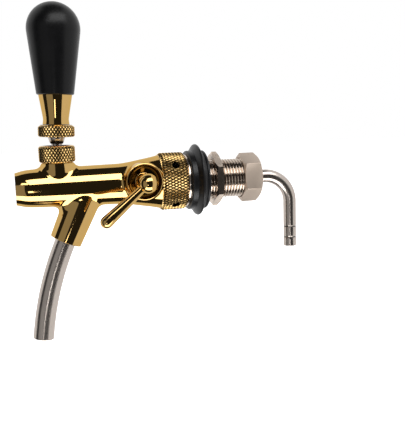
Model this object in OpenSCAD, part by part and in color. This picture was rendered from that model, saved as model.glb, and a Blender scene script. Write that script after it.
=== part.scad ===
// Compensator beer tap on its shank: front of the barrel at -X, shank at +X, handle at +Z.
// The flow lever is on the -Y side. The origin is on the shank's axis, where the wall washer
// meets the tower wall. Millimetres.

/* [Barrel] */
// Radius of the barrel at its middle
barrel_r = 11.4; // [11.1:0.1:12]
// Distance from the wall to the open front end of the barrel
barrel_len = 108.7; // [106:0.1:111]
// Radius of the barrel's rear flare, where the coupling ring meets it
flare_r = 15.5; // [15.2:0.1:15.8]
// Distance from the wall to the end of the flare
flare_x = 28.1; // [27.8:0.1:28.4]
// Radius of the bore that the plunger slides in
plunger_bore_r = 6.5; // [6.4:0.05:6.6]

/* [Handle] */
// Distance from the wall to the handle's axis
handle_x = 85; // [84:0.1:86]
// Height of the ball's centre over the barrel's axis
ball_z = 17; // [16.8:0.1:17.2]
// Radius of the lever's ball
ball_r = 5.6; // [5.5:0.05:5.65]
// Lean of the closed handle towards the wall, in degrees
handle_lean = 1.8; // [0:0.1:2.5]
// Widest radius of the knob
knob_r = 14.6; // [13:0.1:16]
// Height of the knob's top over the barrel's axis
knob_top = 101.2; // [95:0.1:110]
// Radius of the two knurled collars
knurled_r = 10.15; // [9.8:0.05:10.4]

/* [Spout] */
// Distance from the wall to where the spout's axis crosses the barrel's axis
spout_x = 68.6; // [68:0.1:69.5]
// Lean of the spout boss away from the vertical, in degrees
spout_lean = 25; // [22:0.5:27]
// Distance along the boss from the barrel's axis to its end
spout_boss_len = 34.3; // [33:0.1:36]
// Outer radius of the spout tube
spout_r = 5.9; // [5.8:0.05:6]
// Bend radius of the spout tube
spout_bend_r = 180; // [150:5:230]
// Angle that the spout tube bends through, in degrees
spout_bend = 17; // [14:0.5:20]

/* [Flow lever] */
// Distance from the wall to the flow lever's axis
flow_x = 38.7; // [38.6:0.1:39]
// Height of the flow lever's axis over the barrel's axis
flow_z = 1.9; // [0:0.1:2.2]
// Radius of the side boss
side_boss_r = 10.5; // [10.2:0.1:10.6]
// Distance from the barrel's axis to the face of the side boss
side_boss_y = 16.4; // [16:0.1:16.6]
// Eccentricity of the spindle's pin
pin_throw = 2.5; // [2.3:0.1:2.6]
// Turn of the rod away from straight down, towards the front, in degrees
rod_turn = 50; // [45:1:55]
// Length of the rod from the ball's centre to its tip
rod_len = 34.3; // [28:0.5:36]

/* [Coupling and shank] */
// Outer radius of the coupling ring
ring_r = 16.85; // [16.7:0.05:17.2]
// Outer radius of the shank's pipe thread
thread_r = 11.45; // [11.4:0.01:11.5]
// Distance across the lock nut's corners
lock_nut_corners = 32.5; // [31:0.1:34]
// Distance between the wall and the front face of the lock nut
lock_nut_x = 4.5; // [4.3:0.1:12]
// Distance across the tube nut's corners
tube_nut_corners = 29.6; // [28:0.1:31]

/* [Hose tube] */
// Outer radius of the bent tube
tube_r = 4; // [3.9:0.05:4.1]
// Bend radius of the tube's middle line
tube_bend_r = 16.6; // [14:0.1:18]
// Distance from the wall to the upright leg's middle line
tube_leg_x = 55.4; // [53:0.1:57]
// Depth of the tube's cut end under the barrel's axis
tube_end_z = 44.6; // [40:0.1:50]

/* [Hidden] */

run = 0.06;          // radial clearance of a running fit
gap = 0.1;           // axial gap between pieces that turn against each other
fine = 96;           // facets of every true circle
gold = "goldenrod";
nickel = "silver";
steel = "lightsteelblue";
black = "dimgray";
rubber = "darkslategray";

// Heights on the handle, from the ball's centre
neck_h = 7.4;
lever_neck_r = 3.1;
nut_h = 11.2;
nut_len = 6.8;
ferrule_h = nut_h + nut_len;
ferrule_len = 16.3;
knob_h = ferrule_h + ferrule_len;
knob_foot_r = 10.3;
stud_r = 3.9;
knob_stud_r = 3;
finger_len = ball_z;
finger_r = 1.5;
finger_ball_r = 2.4;

// Bonnet and its boss
boss_top = 20;
boss_r = 8;
bonnet_foot = 14.2;
bonnet_top = 23.4;
ball_cavity_r = 7;
seat_floor = 12.6;
lever_hole_r = 6.5;

// Places along the barrel, from the wall towards the front
throat_x = 58.8;
throat_r = 4.6;
chamber_r = 9;
neck_r = 12.4;
neck_end = 18;
snap_x = 24.1;
snap_w = 1.2;
snap_groove_r = 11.6;
lip_x = 24.8;
ring_thread_r = 13.5;
ring_end = 12.6;
spanner_x = 19.8;
spanner_r = 2.1;
hole_turn = 38;      // turn of the first spanner hole above the -Y side
flange_x = 12.6;
flange_r = 15.4;
collar_x = 10.9;
collar_r = 17.4;
washer_t = 1.7;
shank_front = 16.6;
shank_end = 27;
shank_bore_r = 3.5;

// Lock nut, tube nut and tube
lock_nut_t = 4.3;
tube_nut_x = 22.3;
tube_nut_end = 33.3;
tube_flange_x = 28.5;
tube_flange_r = 9;
tube_bore_r = tube_r - 1;
hex_fn = 6;
nut_turn = 7;        // turn of the tube nut's corners at rest

// Spout boss and tube, from the barrel's axis
spout_boss_r = 9.05;
spout_root_r = 10.4;
spout_socket = 14;
spout_bore_r = spout_r - 0.9;
spout_passage_r = 4.6;
o_ring_r = 0.6;
spout_tip = 5;

// Side boss, gland and spindle
dish_r = 9.3;
dish_y = 13.2;
gland_r = 5.6;
gland_y = 11.4;
spindle_r = 3.4;
spindle_flange_r = 4.6;
spindle_ball_r = 5.5;
spindle_ball_y = 26;
rod_root_r = 2.3;
rod_tip_r = 3.5;
pin_r = 1.5;
pin_end = 2;

// Compensator cone
cone_front = 42.2;
cone_guide_end = 32;
cone_r = 7.8;
cone_start = 17.9;
cone_tip = 6.1;
cone_tip_r = 3.2;
seat_mouth_r = 8.4;
seat_end = 4;

// A turned piece: points are [place along the axis, radius]
module turned(points) {
    rotate_extrude($fn = fine) polygon([for (p = points) [p[1], p[0]]]);
}

module along_x(points) {
    rotate([0, 90, 0]) turned(points);
}

module along_y(points) {
    rotate([-90, 0, 0]) turned(points);
}

module on_handle() {
    translate([-handle_x, 0, ball_z]) rotate([0, handle_lean, 0]) children();
}

module on_spout() {
    translate([-spout_x, 0, 0]) rotate([0, 180 + spout_lean, 0]) children();
}

module on_flow() {
    translate([-flow_x, 0, flow_z]) children();
}

// A bend that starts along +Z at the origin and turns towards -X
module bend(bend_r, angle, r) {
    translate([-bend_r, 0, 0]) rotate([90, 0, 0])
        rotate_extrude(angle = angle, $fn = fine) translate([bend_r, 0]) circle(r, $fn = fine);
}

module tap_body() {
    color(gold) difference() {
        union() {
            along_x([[-barrel_len, 0], [-barrel_len, 8.9], [-106.5, 9.7], [-102.8, 10.5], [-95, 10.9],
                [-84, 11.15], [-70, barrel_r], [-50, barrel_r + 0.3], [-44, barrel_r + 1.1],
                [-38, barrel_r + 2.2], [-32, barrel_r + 3.2], [-flare_x, flare_r], [-flare_x, neck_r],
                [-neck_end, neck_r], [-neck_end, 0]]);
            translate([-handle_x, 0, 0])
                turned([[0, 0], [0, 9.6], [9, 9.6], [11, 9.3], [13.9, 8.85], [13.9, boss_r],
                    [boss_top, boss_r], [boss_top, 0]]);
            on_spout() turned([[0, 0], [0, spout_root_r], [spout_boss_len, spout_boss_r],
                [spout_boss_len, 0]]);
            on_flow() along_y([[-side_boss_y, 0], [-side_boss_y, side_boss_r], [-2, side_boss_r], [-2, 0]]);
        }
        // plunger bore, throat and rear chamber
        along_x([[-barrel_len - 1, 0], [-barrel_len - 1, plunger_bore_r], [-throat_x - 3, plunger_bore_r],
            [-throat_x - 1.6, throat_r], [-throat_x, throat_r], [-throat_x + 2, plunger_bore_r + 0.2],
            [-throat_x + 4, chamber_r], [-neck_end + 1, chamber_r], [-neck_end + 1, 0]]);
        // ball cavity and the lever's hole
        translate([-handle_x, 0, 0])
            turned([[0, 0], [0, lever_hole_r], [seat_floor, lever_hole_r], [seat_floor, ball_cavity_r],
                [boss_top + 1, ball_cavity_r], [boss_top + 1, 0]]);
        // spout passage, socket and the O-ring's groove
        on_spout() turned([[2, 0], [2, spout_passage_r], [spout_boss_len - spout_socket, spout_passage_r],
            [spout_boss_len - spout_socket, spout_r + 0.02], [spout_boss_len - 5, spout_r + 0.02],
            [spout_boss_len - 5, spout_r + 1.2], [spout_boss_len - 3.6, spout_r + 1.2],
            [spout_boss_len - 3.6, spout_r + 0.02], [spout_boss_len + 1, spout_r + 0.02],
            [spout_boss_len + 1, 0]]);
        // dish, gland thread and spindle hole
        on_flow() along_y([[-side_boss_y - 1, 0], [-side_boss_y - 1, dish_r], [-side_boss_y, dish_r],
            [-dish_y - 1.4, dish_r - 0.5], [-dish_y - 0.4, dish_r - 1.7], [-dish_y, gland_r],
            [-gland_y, gland_r],
            [-gland_y, spindle_flange_r + run], [-3, spindle_flange_r + run], [-3, 0]]);
        // groove for the snap ring
        along_x([[-snap_x, neck_r + 1], [-snap_x, snap_groove_r], [-snap_x + snap_w, snap_groove_r],
            [-snap_x + snap_w, neck_r + 1]]);
    }
}

module spout_tube() {
    socket_s = spout_boss_len - spout_socket + 0.5;
    color(steel) on_spout() difference() {
        union() {
            translate([0, 0, socket_s]) cylinder(h = spout_boss_len - socket_s, r = spout_r, $fn = fine);
            translate([0, 0, spout_boss_len]) bend(spout_bend_r, spout_bend, spout_r);
            spout_end() cylinder(h = spout_tip, r = spout_r, $fn = fine);
        }
        translate([0, 0, socket_s - 1])
            cylinder(h = spout_boss_len - socket_s + 1, r = spout_bore_r, $fn = fine);
        translate([0, 0, spout_boss_len]) bend(spout_bend_r, spout_bend, spout_bore_r);
        spout_end() cylinder(h = spout_tip + 1, r = spout_bore_r, $fn = fine);
    }
}

// The straight tip at the end of the spout's bend
module spout_end() {
    translate([-spout_bend_r, 0, spout_boss_len]) rotate([0, -spout_bend, 0])
        translate([spout_bend_r, 0, 0]) children();
}

// An O-ring round an axis: middle radius, place along the axis
module o_ring(ring_middle_r, place, r = o_ring_r) {
    translate([0, 0, place]) rotate_extrude($fn = fine) translate([ring_middle_r, 0]) circle(r, $fn = 24);
}

module spout_o_ring() {
    color(rubber) on_spout() o_ring(spout_r + o_ring_r, spout_boss_len - 4.3, o_ring_r - 0.01);
}

module handle_knob() {
    sphere_h = knob_top - ball_z - knob_r;
    side = 7;
    color(black) on_handle() difference() {
        union() {
            translate([0, 0, sphere_h]) sphere(r = knob_r, $fn = fine);
            turned([[knob_h, 0], [knob_h, knob_foot_r - 0.5], [knob_h + 0.5, knob_foot_r],
                [sphere_h - knob_r * sin(side), knob_r * cos(side)],
                [sphere_h - knob_r * sin(side), 0]]);
        }
        translate([0, 0, knob_h - 1]) cylinder(h = 25, r = 5, $fn = fine);
    }
}

module knob_insert() {
    color("gold") on_handle() difference() {
        translate([0, 0, knob_h]) cylinder(h = 24, r = 5, $fn = fine);
        translate([0, 0, knob_h - 1]) cylinder(h = 22, r = knob_stud_r, $fn = fine);
    }
}

module knob_stud() {
    color(steel) on_handle() translate([0, 0, knob_h - 9]) cylinder(h = 29, r = knob_stud_r, $fn = fine);
}

module handle_ferrule() {
    color(gold) on_handle() difference() {
        turned([[ferrule_h, 0], [ferrule_h, 7.65], [ferrule_h + 1, 7.4], [ferrule_h + 2.2, 7.1],
            [ferrule_h + 3, 7.1], [knob_h, 9.25], [knob_h, 0]]);
        translate([0, 0, ferrule_h - 1]) cylinder(h = 7.5, r = stud_r, $fn = fine);
        translate([0, 0, knob_h - 9]) cylinder(h = 10, r = knob_stud_r, $fn = fine);
    }
}

module handle_lock_nut() {
    color(gold) on_handle() difference() {
        turned([[nut_h, 0], [nut_h, 9.2], [nut_h + 1, knurled_r], [nut_h + 5, knurled_r],
            [nut_h + nut_len - gap, 8.6], [nut_h + nut_len - gap, 0]]);
        translate([0, 0, nut_h - 1]) cylinder(h = nut_len + 2, r = stud_r + run, $fn = fine);
    }
}

module tap_lever() {
    color(steel) on_handle() {
        sphere(r = ball_r, $fn = fine);
        turned([[0, 0], [0, lever_neck_r], [neck_h, lever_neck_r], [neck_h + 1.2, 4.1],
            [nut_h - gap, 4.8], [nut_h - gap, stud_r], [ferrule_h + 6, stud_r], [ferrule_h + 6, 0]]);
        turned([[-finger_len, 0], [-finger_len, finger_r], [-7, finger_r], [-5, 2.2], [-1, 2.2], [-1, 0]]);
        translate([0, 0, -finger_len]) sphere(r = finger_ball_r, $fn = fine);
    }
}

module lever_bonnet() {
    lip = boss_top + gap;
    color(gold) translate([-handle_x, 0, 0]) difference() {
        turned([[bonnet_foot, 0], [bonnet_foot, 9.3], [bonnet_foot + 0.8, knurled_r],
            [bonnet_top - 1.3, knurled_r], [bonnet_top, 9.2], [bonnet_top, 0]]);
        turned([[bonnet_foot - 1, 0], [bonnet_foot - 1, boss_r + run], [lip, boss_r + run], [lip, 4.9],
            [bonnet_top, 7.2], [bonnet_top + 1, 7.2], [bonnet_top + 1, 0]]);
    }
}

module ball_seat(low, high) {
    translate([-handle_x, 0, 0]) difference() {
        translate([0, 0, low]) cylinder(h = high - low, r = ball_cavity_r - 0.01, $fn = fine);
        translate([0, 0, ball_z]) sphere(r = ball_r + run, $fn = fine);
        translate([0, 0, low - 1]) cylinder(h = high - low + 2, r = 4.9, $fn = fine);
    }
}

module ball_seat_upper() {
    color("white") ball_seat(17.9, boss_top);
}

module ball_seat_lower() {
    color("white") ball_seat(seat_floor, 15.8);
}

module lever_o_ring() {
    color(rubber) translate([-handle_x, 0, 0]) o_ring(ball_r + run + 0.65, ball_z - 0.1, 0.62);
}

// Plunger: the finger's slot is at the handle, the guide piston in front, the valve behind
module plunger() {
    slot_x = -handle_x - finger_len * sin(handle_lean);
    piston_r = plunger_bore_r - run;
    yoke_r = plunger_bore_r - run;
    slot = finger_ball_r + 0.1;
    color(steel) difference() {
        along_x([[-105.4, 0], [-105.4, 5.4], [-104.9, piston_r], [-104.4, piston_r], [-104.4, 5.25],
            [-103.2, 5.25], [-103.2, piston_r], [-100.2, piston_r], [-100.2, 5.25], [-99, 5.25],
            [-99, piston_r], [-97.6, piston_r], [-96.8, 3], [-91, 3], [slot_x - 5, yoke_r],
            [slot_x + 4.6, yoke_r], [slot_x + 5.4, 3], [-throat_x + 0.2, 3], [-throat_x + 0.2, 2.2],
            [-throat_x + 7.1, 2.2], [-throat_x + 7.1, 0]]);
        translate([slot_x, 10, 0]) rotate([90, 0, 0]) linear_extrude(20)
            polygon([[-slot, -3.2], [slot, -3.2], [slot, 7], [-slot - 1.6, 7], [-slot, 1]]);
    }
}

module plunger_o_rings() {
    color(rubber) rotate([0, 90, 0]) {
        o_ring(5.25 + 0.58, -103.8, 0.58);
        o_ring(5.25 + 0.58, -99.6, 0.58);
    }
}

module valve_seal() {
    x = -throat_x;
    color(rubber) difference() {
        along_x([[x + 0.2, 0], [x + 0.2, throat_r - 0.1], [x + 2, plunger_bore_r + 0.05],
            [x + 3.8, plunger_bore_r + 0.05], [x + 3.8, 0]]);
        translate([x - 1, 0, 0]) rotate([0, 90, 0]) cylinder(h = 8, r = 2.2, $fn = fine);
    }
}

module valve_nut() {
    x = -throat_x + 3.8;
    color(nickel) difference() {
        translate([x, 0, 0]) rotate([0, 90, 0]) cylinder(h = 2.4, r = 4.04, $fn = hex_fn);
        translate([x - 1, 0, 0]) rotate([0, 90, 0]) cylinder(h = 5, r = 2.2, $fn = fine);
    }
}

module flow_spindle() {
    color(gold) on_flow() {
        translate([0, -spindle_ball_y, 0]) sphere(r = spindle_ball_r, $fn = fine);
        along_y([[-spindle_ball_y, 0], [-spindle_ball_y, 2.6], [-gland_y + gap, 2.6], [-gland_y + gap, 0]]);
        along_y([[-18, 0], [-18, spindle_r], [-gland_y + gap, spindle_r], [-gland_y + gap, spindle_flange_r],
            [-9.6, spindle_flange_r], [-9.6, 0]]);
        translate([0, 0, pin_throw])
            along_y([[-10, 0], [-10, pin_r], [pin_end, pin_r], [pin_end, 0]]);
    }
}

module flow_lever_rod() {
    color(gold) on_flow() translate([0, -spindle_ball_y, 0]) rotate([0, 180 + rod_turn, 0]) difference() {
        union() {
            turned([[4, 0], [4, rod_root_r], [6, rod_root_r], [rod_len - rod_tip_r, rod_tip_r],
                [rod_len - rod_tip_r, 0]]);
            translate([0, 0, rod_len - rod_tip_r]) sphere(r = rod_tip_r, $fn = fine);
        }
        sphere(r = spindle_ball_r, $fn = fine);
    }
}

module flow_gland() {
    color(gold) on_flow() difference() {
        along_y([[-dish_y - 0.6, 0], [-dish_y - 0.6, 4.8], [-dish_y, gland_r - 0.01],
            [-gland_y, gland_r - 0.01], [-gland_y, 0]]);
        along_y([[-dish_y - 1, 0], [-dish_y - 1, spindle_r + run], [-gland_y - 1.6, spindle_r + run],
            [-gland_y - 1.6, 4.6], [-gland_y - 0.4, 4.6], [-gland_y - 0.4, spindle_r + run],
            [-gland_y + 1, spindle_r + run], [-gland_y + 1, 0]]);
    }
}

module flow_o_ring() {
    color(rubber) on_flow() rotate([90, 0, 0]) o_ring(spindle_r + run + 0.56, gland_y + 1, 0.55);
}

module compensator_cone() {
    slot = pin_r + 0.15;
    guide_r = chamber_r - run;
    color("white") difference() {
        along_x([[-cone_front, 0], [-cone_front, guide_r - 0.6], [-cone_front + 0.6, guide_r],
            [-cone_guide_end, guide_r], [-cone_guide_end + 1, cone_r], [-cone_start, cone_r],
            [-cone_tip, cone_tip_r], [-cone_tip + 1, cone_tip_r - 1], [-cone_tip + 1, 0]]);
        // four flow channels along the guide
        for (turn = [45 : 90 : 315]) rotate([turn, 0, 0]) translate([-cone_front - 1, 0, 10])
            rotate([0, 90, 0]) cylinder(h = cone_front - cone_guide_end + 2, r = 3.6, $fn = fine);
        // slot for the spindle's pin
        translate([-flow_x - slot, -chamber_r - 1, flow_z])
            cube([2 * slot, chamber_r + pin_end + 1.3, pin_throw + pin_r + 0.4]);
    }
}

module coupling_ring() {
    color(gold) difference() {
        along_x([[-flare_x + gap, 0], [-flare_x + gap, 15.7], [-26.4, ring_r], [-13.5, ring_r],
            [-ring_end, 15.3], [-ring_end, 0]]);
        along_x([[-flare_x - 1, 0], [-flare_x - 1, neck_r + run], [-lip_x, neck_r + run],
            [-lip_x, ring_thread_r + run], [-ring_end + 1, ring_thread_r + run], [-ring_end + 1, 0]]);
        // spanner holes
        for (turn = [hole_turn : 90 : hole_turn + 270]) rotate([90 - turn, 0, 0])
            translate([-spanner_x, 0, 10]) cylinder(h = 10, r = spanner_r, $fn = fine);
    }
}

module coupling_snap_ring() {
    color(steel) difference() {
        along_x([[-snap_x, snap_groove_r], [-snap_x, ring_thread_r - 0.3],
            [-snap_x + snap_w - 0.05, ring_thread_r - 0.3], [-snap_x + snap_w - 0.05, snap_groove_r]]);
        translate([-snap_x - 1, -1.5, -20]) cube([4, 3, 20]);
    }
}

module coupling_gasket() {
    color(rubber) along_x([[-neck_end, chamber_r], [-neck_end, neck_r - 0.2], [-shank_front, neck_r - 0.2],
        [-shank_front, chamber_r]]);
}

module shank() {
    color(nickel) difference() {
        along_x([[-shank_front, 0], [-shank_front, ring_thread_r - 0.5], [-shank_front + 0.5, ring_thread_r],
            [-flange_x + gap, ring_thread_r], [-flange_x + gap, flange_r], [-collar_x, flange_r],
            [-collar_x, thread_r], [shank_end - 0.8, thread_r], [shank_end, thread_r - 0.8], [shank_end, 0]]);
        along_x([[-shank_front - 1, 0], [-shank_front - 1, seat_mouth_r], [-shank_front, seat_mouth_r],
            [-seat_end, shank_bore_r], [shank_end + 1, shank_bore_r], [shank_end + 1, 0]]);
    }
}

module rosette_collar() {
    color(black) difference() {
        along_x([[-collar_x, 0], [-collar_x, 16.8], [-collar_x + 0.6, collar_r], [-7.4, collar_r],
            [-6, 20.1], [-5.3, 20.95], [-4.7, 21.15], [-4.1, 20.8], [-3.3, collar_r],
            [-washer_t, 17], [-washer_t, 0]]);
        along_x([[-collar_x - 1, 0], [-collar_x - 1, thread_r + 0.1], [1, thread_r + 0.1], [1, 0]]);
    }
}

module wall_washer() {
    color(rubber) difference() {
        along_x([[-washer_t, 0], [-washer_t, 16.9], [-washer_t / 2, 17.3], [-0.4, 17.2], [0, 16.8], [0, 0]]);
        along_x([[-washer_t - 1, 0], [-washer_t - 1, thread_r + 0.1], [1, thread_r + 0.1], [1, 0]]);
    }
}

// A hex nut with its corners up and down before its turn, chamfered at both ends
module hex_nut(front, back, corners, chamfer, turn = 0) {
    intersection() {
        translate([front, 0, 0]) rotate([turn, 0, 0]) rotate([0, 90, 0])
            cylinder(h = back - front, d = corners, $fn = hex_fn);
        along_x([[front, 0], [front, corners / 2 - 2 * chamfer], [front + chamfer, corners / 2],
            [back - chamfer, corners / 2], [back, corners / 2 - 2 * chamfer], [back, 0]]);
    }
}

module shank_lock_nut() {
    color(nickel) difference() {
        hex_nut(lock_nut_x, lock_nut_x + lock_nut_t, lock_nut_corners, 0.9);
        along_x([[0, 0], [0, thread_r + run], [20, thread_r + run], [20, 0]]);
    }
}

module tube_nut() {
    color(nickel) difference() {
        hex_nut(tube_nut_x, tube_nut_end, tube_nut_corners, 1.1, -nut_turn);
        along_x([[tube_nut_x - 1, 0], [tube_nut_x - 1, thread_r + run], [29.7, thread_r + run],
            [29.7, tube_r + run], [tube_nut_end + 1, tube_r + run], [tube_nut_end + 1, 0]]);
    }
}

module tube_path(r, extra = 0) {
    straight = tube_leg_x - tube_bend_r;
    translate([tube_flange_x - extra, 0, 0]) rotate([0, 90, 0])
        cylinder(h = straight - tube_flange_x + extra, r = r, $fn = fine);
    translate([straight, 0, 0]) rotate([0, 90, 0]) rotate([0, 0, 180]) bend(tube_bend_r, 90, r);
    translate([tube_leg_x, 0, -tube_end_z - extra])
        cylinder(h = tube_end_z - tube_bend_r + extra, r = r, $fn = fine);
}

module bent_tube() {
    color(steel) difference() {
        union() {
            tube_path(tube_r);
            translate([tube_flange_x, 0, 0]) rotate([0, 90, 0]) cylinder(h = 1.1, r = tube_flange_r, $fn = fine);
        }
        tube_path(tube_bore_r, 1);
    }
}

module tube_gasket() {
    color(rubber) along_x([[shank_end, shank_bore_r], [shank_end, tube_flange_r],
        [tube_flange_x - gap / 2, tube_flange_r], [tube_flange_x - gap / 2, shank_bore_r]]);
}

tap_body();
spout_tube();
spout_o_ring();
handle_knob();
knob_insert();
knob_stud();
handle_ferrule();
handle_lock_nut();
tap_lever();
lever_bonnet();
ball_seat_upper();
ball_seat_lower();
lever_o_ring();
plunger();
plunger_o_rings();
valve_seal();
valve_nut();
flow_spindle();
flow_lever_rod();
flow_gland();
flow_o_ring();
compensator_cone();
coupling_ring();
coupling_snap_ring();
coupling_gasket();
shank();
rosette_collar();
wall_washer();
shank_lock_nut();
tube_nut();
bent_tube();
tube_gasket();
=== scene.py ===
import math

import bpy
import numpy as np
from mathutils import Matrix, Vector


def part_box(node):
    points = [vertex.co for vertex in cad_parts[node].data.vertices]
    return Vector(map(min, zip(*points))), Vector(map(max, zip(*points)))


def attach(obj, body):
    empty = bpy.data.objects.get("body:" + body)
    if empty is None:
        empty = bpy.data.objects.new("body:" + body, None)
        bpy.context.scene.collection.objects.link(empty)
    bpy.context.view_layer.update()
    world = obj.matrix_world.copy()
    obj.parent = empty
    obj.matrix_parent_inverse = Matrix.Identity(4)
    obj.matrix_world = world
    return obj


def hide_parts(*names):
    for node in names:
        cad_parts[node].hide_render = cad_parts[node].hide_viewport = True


bl_info = {
    "name": "Compensator beer tap",
    "version": (1, 0, 0),
    "blender": (4, 5, 0),
    "location": "3D Viewport > Sidebar > Beer tap",
    "description": "Gold compensator tap on its shank, with knob, flow lever, nuts and hose tube",
    "category": "Object",
}

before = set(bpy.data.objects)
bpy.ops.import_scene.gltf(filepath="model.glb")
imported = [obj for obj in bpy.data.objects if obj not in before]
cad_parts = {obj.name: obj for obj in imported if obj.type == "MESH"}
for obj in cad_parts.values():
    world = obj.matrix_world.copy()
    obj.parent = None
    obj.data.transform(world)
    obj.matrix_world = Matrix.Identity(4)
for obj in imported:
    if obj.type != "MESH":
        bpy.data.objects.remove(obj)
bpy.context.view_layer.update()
MM = 0.001


def low_mm(node, axis):
    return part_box(node)[0][axis] / MM


def high_mm(node, axis):
    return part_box(node)[1][axis] / MM


def middle_mm(node, axis):
    return (low_mm(node, axis) + high_mm(node, axis)) / 2


# Main places, in millimetres, from the solids of the frame
FRONT_X = low_mm("tap_body", 0)
HANDLE_X = middle_mm("lever_bonnet", 0)
BALL_Z = 17.0
NECK_R = 3.04
NECK_TOP = 7.4
HANDLE_LEAN = 1.8
SPOUT_X = -68.6
SPOUT_LEAN = 25.0
SPOUT_BOSS_LEN = 34.3
FLOW_X = middle_mm("flow_gland", 0)
FLOW_Z = middle_mm("flow_gland", 2)
FLOW_BALL_R = 5.5
FLOW_BALL_Y = low_mm("flow_spindle", 1) + FLOW_BALL_R
RING_FRONT = low_mm("coupling_ring", 0)
RING_BACK = high_mm("coupling_ring", 0)
RING_R = high_mm("coupling_ring", 2)
SPANNER_R = 2.1
SPANNER_DEPTH = 9
SPANNER_X = -19.8
SPANNER_TURN = 52
COLLAR_FRONT = low_mm("rosette_collar", 0)
COLLAR_BORE = 11.56
SHANK_FRONT = low_mm("shank", 0)
SHANK_END = high_mm("shank", 0)
THREAD_R = 11.45
LOCK_NUT = (low_mm("shank_lock_nut", 0), high_mm("shank_lock_nut", 0))
LOCK_NUT_R = high_mm("shank_lock_nut", 2)
TUBE_NUT = (low_mm("tube_nut", 0), high_mm("tube_nut", 0))
TUBE_NUT_R = 14.8
TUBE_NUT_TURN = 7
TUBE_R = 4.0
TUBE_START = low_mm("bent_tube", 0)
TUBE_LEG_X = high_mm("bent_tube", 0) - TUBE_R
TUBE_END_Z = low_mm("bent_tube", 2)
TUBE_MARKS_Z = (-32.2, -38.9)

# Stations of the barrel and its bosses: place along the axis, radius
BARREL = [(-113, 8.2), (-108.7, 8.9), (-106.5, 9.7), (-102.8, 10.5), (-95, 10.9), (-84, 11.15),
          (-70, 11.4), (-50, 11.7), (-44, 12.5), (-38, 13.6), (-32, 14.6), (-28.1, 15.5), (-24, 16.4)]
HANDLE_BOSS = [(0, 9.6), (8, 9.6), (11, 9.3), (13.9, 8.85), (17, 8.4)]
SPOUT_BOSS = [(0, 10.4), (SPOUT_BOSS_LEN, 9.05), (38, 8.9)]
SIDE_BOSS_R = 10.5
SIDE_BOSS_Y = -16.4
DISH_R = 9.45
DISH_FLOOR_Y = -9

# Frames that a turned piece is placed in: its own axis is Z
ALONG_X = Matrix.Rotation(math.radians(90), 4, "Y")
ON_BONNET = Matrix.Translation((HANDLE_X * MM, 0, 0))
ON_HANDLE = (Matrix.Translation((HANDLE_X * MM, 0, BALL_Z * MM))
             @ Matrix.Rotation(math.radians(HANDLE_LEAN), 4, "Y"))
ON_SPOUT = (Matrix.Translation((SPOUT_X * MM, 0, 0))
            @ Matrix.Rotation(math.radians(180 + SPOUT_LEAN), 4, "Y"))
ON_FLOW = (Matrix.Translation((FLOW_X * MM, 0, FLOW_Z * MM))
           @ Matrix.Rotation(math.radians(-90), 4, "X"))
ON_ROD = (Matrix.Translation((FLOW_X * MM, FLOW_BALL_Y * MM, FLOW_Z * MM))
          @ Matrix.Rotation(math.radians(230), 4, "Y"))
AT_ORIGIN = Matrix.Identity(4)


# ---------------------------------------------------------------- sizes and colours

def length(name, about, size):
    return bpy.props.FloatProperty(name=name, description=about, default=size * MM, unit="LENGTH")


def whole(name, about, number):
    return bpy.props.IntProperty(name=name, description=about, default=number, min=12)


def tint(name, about, *rgb):
    return bpy.props.FloatVectorProperty(name=name, description=about, default=(*rgb, 1), size=4,
                                         subtype="COLOR")


def heading(name, about, degrees):
    return bpy.props.FloatProperty(name=name, description=about, default=math.radians(degrees),
                                   subtype="ANGLE")


def plain(name, about, number):
    return bpy.props.FloatProperty(name=name, description=about, default=number)


class TapSizes(bpy.types.PropertyGroup):
    barrel_voxel: length("Barrel mesh", "Size of the barrel's mesh cells", 0.5)
    handle_fillet: length("Handle fillet", "Blend of the handle's boss into the barrel", 4.0)
    spout_fillet: length("Spout fillet", "Blend of the spout's boss into the barrel", 5.0)
    side_fillet: length("Side fillet", "Blend of the flow lever's boss into the barrel", 3.0)
    turned_steps: whole("Round steps", "Faces round a turned piece", 96)


class KnurlSizes(bpy.types.PropertyGroup):
    ring_count: whole("Ring diamonds", "Diamonds round the coupling ring", 60)
    ring_row: length("Ring row", "Length of a diamond on the coupling ring", 3.66)
    ring_depth: length("Ring depth", "Depth of the ring's knurl", 0.55)
    nut_count: whole("Nut diamonds", "Diamonds round the two handle nuts", 34)
    nut_row: length("Nut row", "Length of a diamond on the handle nuts", 2.7)
    nut_depth: length("Nut depth", "Depth of the handle nuts' knurl", 0.48)
    thread_pitch: length("Thread pitch", "Pitch of the shank's pipe thread", 1.814)
    thread_depth: length("Thread depth", "Depth of the shank's thread", 0.95)


class FinishColours(bpy.types.PropertyGroup):
    gold: tint("Gold plate", "Colour of the polished gold plate", 0.58, 0.37, 0.13)
    nickel: tint("Nickel plate", "Colour of the satin nickel plate", 0.53, 0.44, 0.365)
    steel: tint("Stainless", "Colour of the polished stainless tube", 0.51, 0.45, 0.405)
    brass: tint("Brass", "Colour of the unplated brass insert", 0.55, 0.38, 0.13)
    resin: tint("Knob resin", "Colour of the moulded knob", 0.003, 0.003, 0.0033)
    collar: tint("Collar plastic", "Colour of the wall collar", 0.004, 0.004, 0.0045)
    rubber: tint("Rubber", "Colour of the washers and seals", 0.004, 0.004, 0.0045)
    seat: tint("Seat plastic", "Colour of the ball seats and the cone", 0.78, 0.77, 0.74)


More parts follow.
